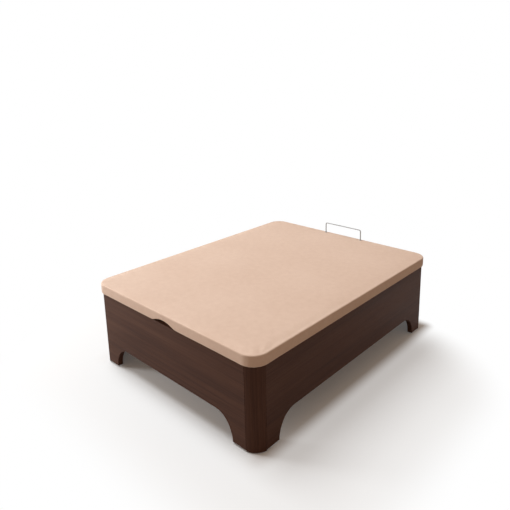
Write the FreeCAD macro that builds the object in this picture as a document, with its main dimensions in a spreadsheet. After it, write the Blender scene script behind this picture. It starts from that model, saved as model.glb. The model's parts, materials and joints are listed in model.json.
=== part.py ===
"""Lift-up storage bed base: a wooden box on corner legs, a padded lid on two-arm lift hinges.

Millimetres. X is the width, Y the length (foot at -Y, head at +Y), Z is up from the floor.
"""
import FreeCAD, Part
import math
import os
import re

from FreeCAD import Placement, Rotation, Vector

doc = FreeCAD.newDocument("LiftUpBedBase")

# Driving dimensions: name, value, meaning.
SIZES = [
    ("lid_width", 1500, "lid across the bed"),
    ("lid_length", 1900, "lid along the bed"),
    ("lid_thickness", 70, "lid from its underside to its top"),
    ("lid_underside", 510, "height of the lid's underside above the floor"),
    ("lid_corner_radius", 100, "rounded corner of the lid in plan"),
    ("pad_thickness", 22, "padding on top of the lid"),
    ("pad_edge_radius", 12, "rolled upper edge of the padding"),
    ("border_thickness", 14, "padding round the lid's edge"),
    ("border_edge_radius", 6, "rolled lower edge of the border"),
    ("lip_thickness", 3, "fabric turned in under the lid's rails"),
    ("lip_width", 30, "how far the fabric is turned in"),
    ("lid_board_thickness", 16, "board under the padding"),
    ("cross_rail_width", 70, "cross rails of the lid"),
    ("cross_rail_spacing", 475, "between the middles of the cross rails"),
    ("notch_width", 200, "finger notch along the foot edge"),
    ("notch_height", 26, "finger notch above the lid's underside"),
    ("notch_depth", 40, "finger notch inwards from the foot edge"),
    ("notch_liner", 2, "fabric lining of the notch"),
    ("overhang", 10, "lid beyond the box on every side"),
    ("rim_gap", 3, "lid above the box's rim"),
    ("panel_thickness", 35, "box panels"),
    ("panel_floor_gap", 10, "panels above the floor"),
    ("arch_height", 158, "lower edge of the panels above the floor, between the legs"),
    ("leg_width", 102, "panel part of a leg at its foot"),
    ("leg_curve_run", 130, "how far the arch's curve reaches inwards"),
    ("leg_curve_lean", 35, "lean, in degrees, where the curve's two arcs meet"),
    ("post_reach", 78, "corner post along each side, from the square corner"),
    ("post_bulge", 15.5, "corner post's curve beyond its chord"),
    ("edge_chamfer", 2, "outer edges of panels and posts, which also makes the groove between them"),
    ("glide_diameter", 28, "glide under a post"),
    ("glide_height", 4, "glide under a post"),
    ("glide_inset", 42, "glide's centre from the box's outer faces"),
    ("bumper_diameter", 16, "rubber bumper on the rim"),
    ("bumper_gap", 0.3, "lid above the bumpers"),
    ("batten_width", 25, "batten along a panel"),
    ("batten_height", 25, "batten along a panel"),
    ("batten_lift", 5, "battens above the panels' lower edge"),
    ("beam_width", 60, "cross beam under the floor boards"),
    ("beam_spacing", 450, "between the middles of the cross beams"),
    ("floor_thickness", 6, "floor boards"),
    ("floor_play", 1, "floor boards from the panels and from each other"),
    ("hanger_length", 90, "plate under a beam's end"),
    ("hanger_thickness", 3, "plate under a beam's end"),
    ("corner_plate_thickness", 3, "steel plate across an inner corner"),
    ("corner_plate_height", 160, "steel plate across an inner corner"),
    ("corner_plate_top_gap", 110, "corner plate below the rim"),
    ("corner_plate_setback", 32, "where the plate leaves the panel, from the post"),
    ("corner_plate_flange", 50, "plate's flange on a panel"),
    ("corner_bolt_diameter", 8, "bolt through a corner plate into the post"),
    ("corner_bolt_depth", 25, "bolt's length in the post"),
    ("corner_bolt_spacing", 90, "two bolts of a corner plate"),
    ("corner_bolt_end", 8, "bolt's end beyond its nut's face"),
    ("nut_height", 6, "nut of a corner bolt"),
    ("nut_flats", 13, "nut of a corner bolt"),
    ("screw_diameter", 5, "wood screw"),
    ("screw_head_diameter", 9, "wood screw"),
    ("screw_head_height", 2.5, "wood screw"),
    ("screw_grip", 18, "wood screw's length in the far piece"),
    ("batten_screw_end", 150, "end screws of a batten from its ends"),
    ("corner_screw_spacing", 110, "two screws of a corner plate's flange"),
    ("plate_thickness", 4, "hinge plate"),
    ("plate_lobe_radius", 15, "hinge plate round a pivot"),
    ("plate_screw_inset", 60, "hinge plate's screws, from a pivot towards the plate's middle"),
    ("washer_gap", 1, "gap for a washer beside an arm"),
    ("arm_layer_gap", 5, "front arm inside the rear arm"),
    ("spacer_play", 0.1, "play of a washer or spacer at a pivot"),
    ("spacer_diameter", 20, "washers and spacers at the pivots"),
    ("arm_thickness", 6, "hinge arm"),
    ("arm_width", 32, "hinge arm"),
    ("bracket_thickness", 5, "upright leaf of the lid's bracket"),
    ("bracket_leaf_height", 25, "upright leaf of the lid's bracket below the rail"),
    ("bracket_flange_width", 30, "flange of the bracket under the rail"),
    ("bracket_flange_thickness", 4, "flange of the bracket under the rail"),
    ("bracket_length", 332, "lid's bracket along the bed"),
    ("bracket_head_gap", 43, "bracket's rear end from the head panel"),
    ("bracket_screw_inset", 30, "bracket's end screws from the ends of bracket and rail"),
    ("pin_diameter", 10, "pivot pin"),
    ("pin_head_diameter", 18, "pivot pin"),
    ("pin_head_height", 3.5, "pivot pin"),
    ("pin_head_play", 0.3, "pin's head from the arm"),
    ("running_clearance", 0.05, "pin in an arm's bore, on the radius"),
    ("loop_clearance", 0.9, "pin in the front arm's upper bore, on the radius"),
    ("rear_base_inset", 233, "rear arm's lower pivot from the head panel"),
    ("rear_base_drop", 68, "rear arm's lower pivot below the lid's underside"),
    ("rear_lid_inset", 69, "rear arm's upper pivot from the head panel"),
    ("rear_lid_drop", 27, "rear arm's upper pivot below the lid's underside"),
    ("front_base_inset", 446, "front arm's lower pivot from the head panel"),
    ("front_base_drop", 227, "front arm's lower pivot below the lid's underside"),
    ("front_lid_inset", 103, "front arm's upper pivot from the head panel"),
    ("front_lid_drop", 77, "front arm's upper pivot below the lid's underside"),
    ("spring_reach", 260, "both ends of the gas spring from the front arm's lower pivot"),
    ("spring_angle", 40, "angle in degrees between those two ends, lid closed"),
    ("spring_offset", 18, "gas spring's axis inwards from the front arm"),
    ("spring_tube_diameter", 22, "gas spring tube"),
    ("spring_tube_wall", 1.5, "gas spring tube"),
    ("spring_tube_top", 160, "tube's upper end from its stud"),
    ("spring_gland_length", 15, "gland at the tube's upper end"),
    ("spring_eye_radius", 12, "eyes of the gas spring"),
    ("spring_eye_width", 12, "eyes of the gas spring"),
    ("spring_floor", 18, "inner end of the tube from its stud"),
    ("rod_diameter", 10, "gas spring rod"),
    ("rod_length", 156, "rod from its stud to its piston's face"),
    ("rod_clearance", 0.15, "rod in the gland, on the radius"),
    ("piston_thickness", 6, "piston on the rod"),
    ("piston_clearance", 0.5, "piston in the tube, on the radius"),
    ("stud_diameter", 8, "gas spring stud"),
    ("stud_collar_diameter", 14, "collar and head of a stud"),
    ("stud_head_height", 4, "head of a stud"),
    ("stud_play", 0.3, "eye between a stud's collar and head"),
    ("bow_width", 345, "mattress bow between the middles of its legs"),
    ("bow_rise", 88, "mattress bow above the lid"),
    ("bow_wire", 8, "mattress bow's wire"),
    ("bow_bend_radius", 14, "mattress bow's bends, on the wire's middle"),
    ("bow_inset", 26, "mattress bow from the lid's head edge"),
    ("socket_wall", 2, "socket of a bow's leg"),
    ("socket_play", 0.1, "bow's leg in its socket, on the radius"),
    ("socket_floor", 10, "socket's lower end above the lid's underside"),
    ("socket_bottom", 2, "closed bottom of a socket"),
    ("socket_flange_diameter", 20, "socket's flange, let into the padding"),
    ("socket_flange_height", 1.5, "socket's flange, let into the padding"),
]

sheet = doc.addObject("Spreadsheet::Sheet", "Sizes")
for row, (alias, value, meaning) in enumerate(SIZES, start=1):
    sheet.set(f"A{row}", meaning)
    sheet.set(f"B{row}", str(value))
    sheet.setAlias(f"B{row}", alias)
doc.recompute()

# Lengths worked out from the driving dimensions: name, formula.
DERIVED = [
    ("box_half_width", "lid_width / 2 - overhang"),
    ("box_half_length", "lid_length / 2 - overhang"),
    ("rim", "lid_underside - rim_gap"),
    ("inner_half_width", "box_half_width - panel_thickness"),
    ("inner_half_length", "box_half_length - panel_thickness"),
    ("end_panel_half", "box_half_width - post_reach"),
    ("side_panel_half", "box_half_length - post_reach"),
    ("lid_top", "lid_underside + lid_thickness"),
    ("border_height", "lid_thickness - pad_thickness"),
    ("core_half_width", "lid_width / 2 - border_thickness"),
    ("core_half_length", "lid_length / 2 - border_thickness"),
    ("core_radius", "lid_corner_radius - border_thickness"),
    ("rail_bottom", "lid_underside + lip_thickness"),
    ("rail_height", "border_height - lid_board_thickness - lip_thickness"),
    ("board_bottom", "rail_bottom + rail_height"),
    ("batten_bottom", "arch_height + batten_lift"),
    ("batten_top", "batten_bottom + batten_height"),
    ("rear_arm_outer", "inner_half_width - plate_thickness - washer_gap"),
    ("rear_arm_inner", "rear_arm_outer - arm_thickness"),
    ("front_arm_outer", "rear_arm_inner - arm_layer_gap"),
    ("front_arm_inner", "front_arm_outer - arm_thickness"),
    ("bracket_outer", "front_arm_inner - washer_gap"),
    ("bracket_inner", "bracket_outer - bracket_thickness"),
    ("spring_x", "front_arm_inner - spring_offset"),
    ("bracket_rear", "inner_half_length - bracket_head_gap"),
    ("bow_y", "lid_length / 2 - bow_inset"),
]
derived = doc.addObject("App::VarSet", "Derived")
derived_names = [name for name, _ in DERIVED]
size_names = [alias for alias, _, _ in SIZES]


def formula(text):
    """Point each size named in a formula at the sheet or at the derived lengths."""
    def owner(match):
        word = match.group(0)
        if word in size_names:
            return "Sizes." + word
        return "Derived." + word if word in derived_names else word
    return re.sub(r"[a-z_]+", owner, text)


for name, text in DERIVED:
    derived.addProperty("App::PropertyFloat", name)
    derived.setExpression(name, formula(text))
doc.recompute()

values = {alias: float(sheet.get(alias)) for alias in size_names}
values.update({name: float(getattr(derived, name)) for name in derived_names})


class Values:
    """Reads the same sizes as plain numbers, for outlines and places."""
    def __getattr__(self, name):
        return values[name]


v = Values()
nodes = []


def node(obj, label):
    """Name a finished sub-part; the label is also its file's name."""
    obj.Label = label
    nodes.append(obj)
    return obj


def bind(obj, **formulas):
    """Tie properties to formulas; x, y and z stand for the placement."""
    for prop, text in formulas.items():
        path = "Placement.Base." + prop if prop in ("x", "y", "z") else prop
        obj.setExpression(path, formula(text))
    return obj


def box(name, length, width, height, x, y, z):
    """A block from its least corner, all six by formula."""
    return bind(doc.addObject("Part::Box", name), Length=length, Width=width, Height=height, x=x, y=y, z=z)


def beam(name, middle_x, middle_y, bottom, size_x, size_y, size_z):
    """A block from the middle of its base, all six by formula."""
    return box(name, size_x, size_y, size_z,
               f"{middle_x} - ({size_x}) / 2", f"{middle_y} - ({size_y}) / 2", bottom)


def compound(name, shapes):
    """Separate solids kept in one object."""
    obj = doc.addObject("Part::Feature", name)
    obj.Shape = Part.makeCompound(shapes)
    return obj


def boolean(kind, name, *objs):
    """Part::Cut of two objects, or Part::MultiFuse of several."""
    obj = doc.addObject(kind, name)
    if kind == "Part::Cut":
        obj.Base, obj.Tool = objs
    else:
        obj.Shapes = list(objs)
        obj.Refine = True
    return obj


def cut(name, base, tool):
    return boolean("Part::Cut", name, base, tool)


def fuse(name, *objs):
    return boolean("Part::MultiFuse", name, *objs)


class Pen:
    """Draws a closed outline of lines and arcs in a sketch's plane."""
    def __init__(self, x, y):
        self.start = self.at = Vector(x, y, 0)
        self.curves = []

    def line(self, x, y):
        to = Vector(x, y, 0)
        self.curves.append(Part.LineSegment(self.at, to))
        self.at = to
        return self

    def arc(self, mid, to):
        mid, to = Vector(*mid, 0), Vector(*to, 0)
        self.curves.append(Part.Arc(self.at, mid, to))
        self.at = to
        return self

    def close(self):
        return self.line(self.start.x, self.start.y).curves


def sketch_on(body, plane, name, curves):
    """A sketch on one of the body's own origin planes."""
    sketch = body.newObject("Sketcher::SketchObject", name)
    origin = next(f for f in body.Origin.OriginFeatures if f.Role == plane)
    sketch.AttachmentSupport = [(origin, "")]
    sketch.MapMode = "FlatFace"
    sketch.addGeometry(curves, False)
    return sketch


def padded(name, plane, curves, depth, **place):
    """A body made by padding one outline towards +X, +Y or +Z."""
    body = doc.addObject("PartDesign::Body", name)
    pad = body.newObject("PartDesign::Pad", name + "_pad")
    pad.Profile = sketch_on(body, plane, name + "_outline", curves)
    pad.Reversed = plane == "XZ_Plane"
    bind(pad, Length=depth)
    bind(body, **place)
    return body


def dress(body, kind, size, choose):
    """Chamfer or fillet the body's edges that choose() picks."""
    doc.recompute()
    base = body.Tip
    picked = [f"Edge{i}" for i, edge in enumerate(base.Shape.Edges, start=1) if choose(edge)]
    feature = body.newObject("PartDesign::" + kind, body.Name + "_" + kind.lower())
    feature.Base = (base, picked)
    bind(feature, **{"Radius" if kind == "Fillet" else "Size": size})
    return body


def ends(edge):
    return [vertex.Point for vertex in edge.Vertexes]


def near(a, b):
    return abs(a - b) < 1e-4


def rounded_rectangle(half_x, half_y, radius):
    """Outline of a rectangle with round corners, centred."""
    inset = radius * (1 - ROOT_HALF)
    pen = Pen(-half_x + radius, -half_y)
    for sx, sy in ((1, -1), (1, 1), (-1, 1), (-1, -1)):
        before = (sx * (half_x - radius), sy * half_y)
        after = (sx * half_x, sy * (half_y - radius))
        if sx * sy > 0:
            before, after = after, before
        pen.line(*before).arc((sx * (half_x - inset), sy * (half_y - inset)), after)
    return pen.curves


def rod(start, direction, length, radius):
    """A plain cylinder from a point."""
    return Part.makeCylinder(radius, length, Vector(*start), Vector(*direction))


def toward(point, direction, distance):
    return tuple(p + d * distance for p, d in zip(point, direction))


SIDES = (("left", -1), ("right", 1))
ENDS = (("foot", -1), ("head", 1))
ROOT_HALF = math.sqrt(0.5)


# Fasteners: each spot is a point on the seat and the direction in which the shank goes.
def screw(spot, grip):
    point, direction = spot
    shank = rod(point, direction, grip, v.screw_diameter / 2)
    head = rod(toward(point, direction, -v.screw_head_height), direction, v.screw_head_height,
               v.screw_head_diameter / 2)
    return shank.fuse(head).removeSplitter().Solids[0]


def screw_set(name, spots_by_piece, grip):
    """Every screw of several pieces, in one object."""
    return compound(name, [screw(spot, grip) for spots in spots_by_piece.values() for spot in spots])


def screw_holes(name, spots, grip):
    return compound(name, [rod(point, direction, grip, v.screw_diameter / 2) for point, direction in spots])


# Panels: straight sides, and a lower edge that rises between the legs in two tangent arcs.
lean = math.radians(v.leg_curve_lean)
curve_rise = v.arch_height - v.panel_floor_gap
curve_det = math.sin(lean) + math.cos(lean) - 1
low_radius = (curve_rise * math.cos(lean) - v.leg_curve_run * (1 - math.sin(lean))) / curve_det
high_radius = (v.leg_curve_run * math.sin(lean) - curve_rise * (1 - math.cos(lean))) / curve_det


def leg_curve(angle):
    """Point of the leg's curve where it leans by an angle: inwards, upwards from the leg's foot."""
    low = min(angle, lean)
    inwards, up = low_radius * (1 - math.cos(low)), low_radius * math.sin(low)
    if angle > lean:
        inwards += high_radius * (math.cos(lean) - math.cos(angle))
        up += high_radius * (math.sin(angle) - math.sin(lean))
    return inwards, up


def panel_outline(half):
    """Outline of a panel seen from outside, from its left leg round to its upper left corner."""
    foot = half - v.leg_width
    turns = [0, lean / 2, lean, (lean + math.pi / 2) / 2, math.pi / 2]
    left = [(-foot + run, v.panel_floor_gap + up) for run, up in map(leg_curve, turns)]
    right = [(-x, z) for x, z in reversed(left)]
    pen = Pen(-half, v.panel_floor_gap).line(*left[0]).arc(left[1], left[2]).arc(left[3], left[4])
    pen.line(*right[0]).arc(right[1], right[2]).arc(right[3], right[4])
    return pen.line(half, v.panel_floor_gap).line(half, v.rim).line(-half, v.rim).close()


def panel_blank(name, sign, plane, half, face, depth_axis):
    """A panel inside one face of the box, with a chamfer round its outer face."""
    outer = 0 if sign < 0 else v.panel_thickness
    place = "-" + face if sign < 0 else face + " - panel_thickness"
    body = padded(f"{name}_panel_blank", plane, panel_outline(half), "panel_thickness", **{depth_axis: place})

    def on_outer_face(edge):
        return all(near(getattr(point, depth_axis), outer) for point in ends(edge))
    return dress(body, "Chamfer", "edge_chamfer", on_outer_face)


panel_blanks = {end: panel_blank(end, sign, "XZ_Plane", v.end_panel_half, "box_half_length", "y")
                for end, sign in ENDS}
panel_blanks.update({
    side: panel_blank(side, sign, "YZ_Plane", v.side_panel_half, "box_half_width", "x")
    for side, sign in SIDES})

# Corner posts: a convex outer face between the two panels and a flat inner face across the corner.
bulge_inset = v.post_reach / 2 - v.post_bulge * ROOT_HALF
post_blanks = {}
for end, ey in ENDS:
    for side, sx in SIDES:
        def corner(dx, dy):
            return sx * (v.box_half_width - dx), ey * (v.box_half_length - dy)
        pen = Pen(*corner(v.post_reach, 0)).arc(corner(bulge_inset, bulge_inset), corner(0, v.post_reach))
        pen.line(*corner(v.panel_thickness, v.post_reach)).line(*corner(v.post_reach, v.panel_thickness))
        seams = [corner(v.post_reach, 0), corner(0, v.post_reach)]
        body = padded(f"{end}_{side}_post_blank", "XY_Plane", pen.close(),
                      "rim - glide_height", z="glide_height")

        def on_outer_face(edge):
            return all(any(near(point.x, x) and near(point.y, y) for x, y in seams) for point in ends(edge))
        post_blanks[end, side] = dress(body, "Chamfer", "edge_chamfer", on_outer_face)

glide_spots = [(sx * (v.box_half_width - v.glide_inset), ey * (v.box_half_length - v.glide_inset), 0)
               for _, sx in SIDES for _, ey in ENDS]
node(compound("glides", [rod(p, (0, 0, 1), v.glide_height, v.glide_diameter / 2) for p in glide_spots]),
     "post_glides")

# Corner plates: bent steel across each inner corner, bolted to the post and screwed to both panels.
plate_top = v.rim - v.corner_plate_top_gap
plate_middle = plate_top - v.corner_plate_height / 2
corner_bolts, corner_nuts = [], []
corner_screw_spots = {key: [] for key in panel_blanks}
for end, ey in ENDS:
    for side, sx in SIDES:
        def inner(dx, dy):
            """A point by its distances from the two panels' inner faces."""
            return sx * (v.inner_half_width - dx), ey * (v.inner_half_length - dy)
        thick = v.corner_plate_thickness
        leave = v.post_reach - v.panel_thickness + v.corner_plate_setback
        tip = leave + v.corner_plate_flange
        bend = thick * math.tan(math.radians(22.5))
        pen = Pen(*inner(tip, 0)).line(*inner(leave, 0)).line(*inner(0, leave)).line(*inner(0, tip))
        pen.line(*inner(thick, tip)).line(*inner(thick, leave + bend)).line(*inner(leave + bend, thick))
        body = padded(f"{end}_{side}_corner_plate_blank", "XY_Plane", pen.line(*inner(tip, thick)).close(),
                      "corner_plate_height", z="rim - corner_plate_top_gap - corner_plate_height")
        outward = (sx * ROOT_HALF, ey * ROOT_HALF, 0)
        middle = leave / 2 + thick * ROOT_HALF
        post_face = (v.post_reach - v.panel_thickness) / 2
        gap = (middle - post_face) / ROOT_HALF
        holes = []
        for dz in (-v.corner_bolt_spacing / 2, v.corner_bolt_spacing / 2):
            seat = (*inner(middle, middle), plate_middle + dz)
            start = toward(seat, outward, -v.nut_height - v.corner_bolt_end)
            length = v.nut_height + v.corner_bolt_end + gap + v.corner_bolt_depth
            bolt = rod(start, outward, length, v.corner_bolt_diameter / 2)
            holes.append(bolt)
            corner_bolts.append(bolt)
            nut_radius = v.nut_flats / math.sqrt(3)
            ring = [Vector(nut_radius * math.cos(a), nut_radius * math.sin(a), 0)
                    for a in (math.radians(60 * k) for k in range(7))]
            nut = Part.Face(Part.makePolygon(ring)).extrude(Vector(0, 0, v.nut_height))
            nut.Placement = Placement(Vector(*toward(seat, outward, -v.nut_height)),
                                      Rotation(Vector(0, 0, 1), Vector(*outward)))
            corner_nuts.append(nut.cut(bolt).Solids[0])
        spots = {side: [], end: []}
        for dz in (-v.corner_screw_spacing / 2, v.corner_screw_spacing / 2):
            along = leave + bend + v.corner_plate_flange / 2
            spots[side].append(((*inner(thick, along), plate_middle + dz), (sx, 0, 0)))
            spots[end].append(((*inner(along, thick), plate_middle + dz), (0, ey, 0)))
        for key, found in spots.items():
            corner_screw_spots[key] += found
        grip = v.corner_plate_thickness + v.screw_grip
        holes += [rod(p, d, grip, v.screw_diameter / 2) for p, d in spots[side] + spots[end]]
        tools = compound(f"{end}_{side}_corner_holes", holes)
        node(cut(f"{end}_{side}_corner_plate_cut", body, tools), f"corner_plate_{end}_{side}")
        node(cut(f"{end}_{side}_post_cut", post_blanks[end, side], tools), f"corner_post_{end}_{side}")
node(compound("bolts", corner_bolts), "corner_bolts")
node(compound("nuts", corner_nuts), "corner_nuts")
corner_grip = v.corner_plate_thickness + v.screw_grip
node(screw_set("corner_screw_set", corner_screw_spots, corner_grip), "corner_plate_screws")

# Battens along the panels, cross beams between the side battens, and the floor boards on top.
batten_middle = v.batten_bottom + v.batten_height / 2
batten_grip = v.batten_width + v.screw_grip
batten_spots = {}
for side, sx in SIDES:
    reach, face = v.side_panel_half - v.batten_screw_end, sx * (v.inner_half_width - v.batten_width)
    batten_spots[side] = [((face, reach * k, batten_middle), (sx, 0, 0)) for k in (-1, -1 / 3, 1 / 3, 1)]
    blank = beam(f"{side}_batten_blank", f"{sx} * (inner_half_width - batten_width / 2)", "0",
                 "batten_bottom", "batten_width", "side_panel_half * 2", "batten_height")
    tools = screw_holes(f"{side}_batten_holes", batten_spots[side], batten_grip)
    node(cut(f"{side}_batten_cut", blank, tools), f"{side}_batten")
for end, ey in ENDS:
    reach, face = v.end_panel_half - v.batten_screw_end, ey * (v.inner_half_length - v.batten_width)
    batten_spots[end] = [((reach * k, face, batten_middle), (0, ey, 0)) for k in (-1, 0, 1)]
    blank = beam(f"{end}_batten_blank", "0", f"{ey} * (inner_half_length - batten_width / 2)",
                 "batten_bottom", "end_panel_half * 2", "batten_width", "batten_height")
    tools = screw_holes(f"{end}_batten_holes", batten_spots[end], batten_grip)
    node(cut(f"{end}_batten_cut", blank, tools), f"{end}_batten")
node(screw_set("batten_screw_set", batten_spots, batten_grip), "batten_screws")

BEAMS = (("foot", -1), ("middle", 0), ("head", 1))
hangers = []
for name, k in BEAMS:
    node(beam(f"{name}_beam", "0", f"{k} * beam_spacing", "batten_bottom",
              "2 * (inner_half_width - batten_width)", "beam_width", "batten_height"), f"cross_beam_{name}")
    for _, sx in SIDES:
        start = sx * v.inner_half_width - (v.hanger_length if sx > 0 else 0)
        hangers.append(Part.makeBox(v.hanger_length, v.beam_width, v.hanger_thickness, Vector(
            start, k * v.beam_spacing - v.beam_width / 2, v.batten_bottom - v.hanger_thickness)))
node(compound("hangers", hangers), "beam_hangers")

floor_half = v.inner_half_width - v.floor_play
floor_end = v.inner_half_length - v.floor_play
floor_corner = v.post_reach - v.panel_thickness
for end, ey in ENDS:
    pen = Pen(-floor_half, ey * v.floor_play / 2).line(floor_half, ey * v.floor_play / 2)
    pen.line(floor_half, ey * (floor_end - floor_corner)).line(floor_half - floor_corner, ey * floor_end)
    pen.line(-floor_half + floor_corner, ey * floor_end).line(-floor_half, ey * (floor_end - floor_corner))
    node(padded(f"{end}_floor", "XY_Plane", pen.close(), "floor_thickness", z="batten_top"),
         f"floor_board_{end}")

# Lift hinge pivots in the side view, as (Y, Z).
head_face, underside = v.inner_half_length, v.lid_underside
rear_base = Vector(0, head_face - v.rear_base_inset, underside - v.rear_base_drop)
rear_lid = Vector(0, head_face - v.rear_lid_inset, underside - v.rear_lid_drop)
front_base = Vector(0, head_face - v.front_base_inset, underside - v.front_base_drop)
front_lid = Vector(0, head_face - v.front_lid_inset, underside - v.front_lid_drop)
front_line = math.atan2(front_lid.z - front_base.z, front_lid.y - front_base.y)


def spring_end(angle):
    """A point at the gas spring's reach from the front arm's lower pivot."""
    return front_base + Vector(0, math.cos(angle), math.sin(angle)) * v.spring_reach


spring_base = spring_end(front_line - math.radians(v.spring_angle))
spring_arm = spring_end(front_line)


def hull_outline(points, radius):
    """Outline that wraps equal circles round points given anticlockwise, in the YZ plane."""
    curves = []
    count = len(points)
    for i, here in enumerate(points):
        before, after = points[i - 1], points[(i + 1) % count]
        turn_in = math.atan2(here.z - before.z, here.y - before.y) - math.pi / 2
        turn_out = math.atan2(after.z - here.z, after.y - here.y) - math.pi / 2
        while turn_out < turn_in:
            turn_out += 2 * math.pi

        def rim_point(angle, centre=here):
            return Vector(centre.y + radius * math.cos(angle), centre.z + radius * math.sin(angle), 0)
        halfway = (turn_in + turn_out) / 2
        curves.append(Part.Arc(rim_point(turn_in), rim_point(halfway), rim_point(turn_out)))
        curves.append(Part.LineSegment(rim_point(turn_out), rim_point(turn_out, after)))
    return curves


def across(start_x, end_x, centre, radius):
    """A cylinder along X between two X values."""
    low, high = sorted((start_x, end_x))
    return rod((low, centre.y, centre.z), (1, 0, 0), high - low, radius)


def stepped(*steps):
    """One solid from cylinders along X that share a centre line."""
    solid = steps[0]
    for step in steps[1:]:
        solid = solid.fuse(step)
    return solid.removeSplitter().Solids[0]


def spacer(start_x, end_x, centre):
    """A washer or sleeve round a pin."""
    ring = across(start_x, end_x, centre, v.spacer_diameter / 2)
    return ring.cut(across(start_x, end_x, centre, v.pin_diameter / 2)).Solids[0]


pin_radius, pin_head = v.pin_diameter / 2, v.pin_head_diameter / 2
stud_radius, stud_collar = v.stud_diameter / 2, v.stud_collar_diameter / 2
bore_radius = pin_radius + v.running_clearance
eye_near = v.spring_x + v.spring_eye_width / 2 + v.stud_play
eye_far = v.spring_x - v.spring_eye_width / 2 - v.stud_play
plate_inner = v.inner_half_width - v.plate_thickness
plate_points = [front_base, spring_base, rear_base]
plate_centre = (front_base + spring_base + rear_base) * (1 / 3)
plate_grip = v.plate_thickness - v.screw_head_height + v.screw_grip

base_pins, lid_pins, base_studs, arm_studs, base_spacers, lid_spacers = [], [], [], [], [], []
plate_spots, bracket_spots = {}, {}
for side, sx in SIDES:
    # Hinge plate on the side panel.
    blank = padded(f"{side}_plate_blank", "YZ_Plane", hull_outline(plate_points, v.plate_lobe_radius),
                   "plate_thickness",
                   x="-inner_half_width" if sx < 0 else "inner_half_width - plate_thickness")
    plate_spots[side] = []
    for pivot in plate_points:
        spot = pivot + (plate_centre - pivot).normalize() * v.plate_screw_inset
        plate_spots[side].append(((sx * (plate_inner + v.screw_head_height), spot.y, spot.z), (sx, 0, 0)))
    holes = [screw(spot, plate_grip) for spot in plate_spots[side]]
    holes += [across(sx * plate_inner, sx * v.inner_half_width, p, r)
              for p, r in ((rear_base, pin_radius), (front_base, pin_radius), (spring_base, stud_radius))]
    node(cut(f"{side}_plate_cut", blank, compound(f"{side}_plate_holes", holes)), f"{side}_hinge_plate")

    # Arms: flat bars with a bore at each end; the front arm passes inside the rear one.
    for arm, low, high, upper_bore in (("rear", rear_base, rear_lid, bore_radius),
                                       ("front", front_base, front_lid, pin_radius + v.loop_clearance)):
        blank = padded(f"{side}_{arm}_arm_blank", "YZ_Plane", hull_outline([low, high], v.arm_width / 2),
                       "arm_thickness", x=f"-{arm}_arm_outer" if sx < 0 else f"{arm}_arm_inner")
        faces = [sx * values[f"{arm}_arm_{face}"] for face in ("inner", "outer")]
        holes = [across(*faces, low, bore_radius), across(*faces, high, upper_bore)]
        if arm == "front":
            holes.append(across(*faces, spring_arm, stud_radius))
        tools = compound(f"{side}_{arm}_arm_holes", holes)
        node(cut(f"{side}_{arm}_arm_cut", blank, tools), f"{side}_{arm}_arm")

    # Bracket under the lid: an angle with a lug that carries both upper pivots.
    flange = box(f"{side}_bracket_flange",
                 "bracket_flange_width", "bracket_length", "bracket_flange_thickness",
                 "-bracket_outer" if sx < 0 else "bracket_outer - bracket_flange_width",
                 "bracket_rear - bracket_length", "rail_bottom - bracket_flange_thickness")
    leaf = box(f"{side}_bracket_leaf", "bracket_thickness", "bracket_length", "bracket_leaf_height",
               "-bracket_outer" if sx < 0 else "bracket_inner", "bracket_rear - bracket_length",
               "rail_bottom - bracket_leaf_height")
    shoulder = v.rail_bottom - v.bracket_leaf_height / 2
    lug_points = [front_lid, rear_lid, Vector(0, rear_lid.y, shoulder),
                  Vector(0, front_lid.y - v.arm_width, shoulder)]
    lug = padded(f"{side}_bracket_lug", "YZ_Plane", hull_outline(lug_points, v.bracket_leaf_height / 2),
                 "bracket_thickness", x="-bracket_outer" if sx < 0 else "bracket_inner")
    first = v.bracket_rear - v.bracket_length + v.bracket_screw_inset
    last = min(v.bracket_rear, v.core_half_length - v.core_radius) - v.bracket_screw_inset
    middle_x = sx * (v.bracket_inner - (v.bracket_flange_width - v.bracket_thickness) / 2)
    seat_z = v.rail_bottom - v.bracket_flange_thickness
    bracket_spots[side] = [((middle_x, first + (last - first) * k, seat_z), (0, 0, 1))
                           for k in (0, 1 / 3, 2 / 3, 1)]
    bracket_grip = v.bracket_flange_thickness + v.screw_grip
    holes = [rod(p, d, bracket_grip, v.screw_diameter / 2) for p, d in bracket_spots[side]]
    holes += [across(sx * v.bracket_inner, sx * v.bracket_outer, pivot, pin_radius)
              for pivot in (rear_lid, front_lid)]
    whole = fuse(f"{side}_bracket_blank", flange, leaf, lug)
    node(cut(f"{side}_bracket_cut", whole, compound(f"{side}_bracket_holes", holes)), f"{side}_lid_bracket")

    # Pins and spacers: those at the base are set in the plate, those at the lid in the bracket.
    for arm, pivot in (("rear", rear_base), ("front", front_base)):
        arm_inner, arm_outer = values[f"{arm}_arm_inner"], values[f"{arm}_arm_outer"]
        head_at = arm_inner - v.pin_head_play
        base_pins.append(stepped(across(sx * v.inner_half_width, sx * head_at, pivot, pin_radius),
                                 across(sx * head_at, sx * (head_at - v.pin_head_height), pivot, pin_head)))
        base_spacers.append(spacer(sx * plate_inner, sx * (arm_outer + v.spacer_play), pivot))
    for arm, pivot in (("rear", rear_lid), ("front", front_lid)):
        arm_inner, arm_outer = values[f"{arm}_arm_inner"], values[f"{arm}_arm_outer"]
        head_at = arm_outer + v.pin_head_play
        lid_pins.append(stepped(across(sx * v.bracket_inner, sx * head_at, pivot, pin_radius),
                                across(sx * head_at, sx * (head_at + v.pin_head_height), pivot, pin_head)))
        lid_spacers.append(spacer(sx * v.bracket_outer, sx * (arm_inner - v.spacer_play), pivot))

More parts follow.
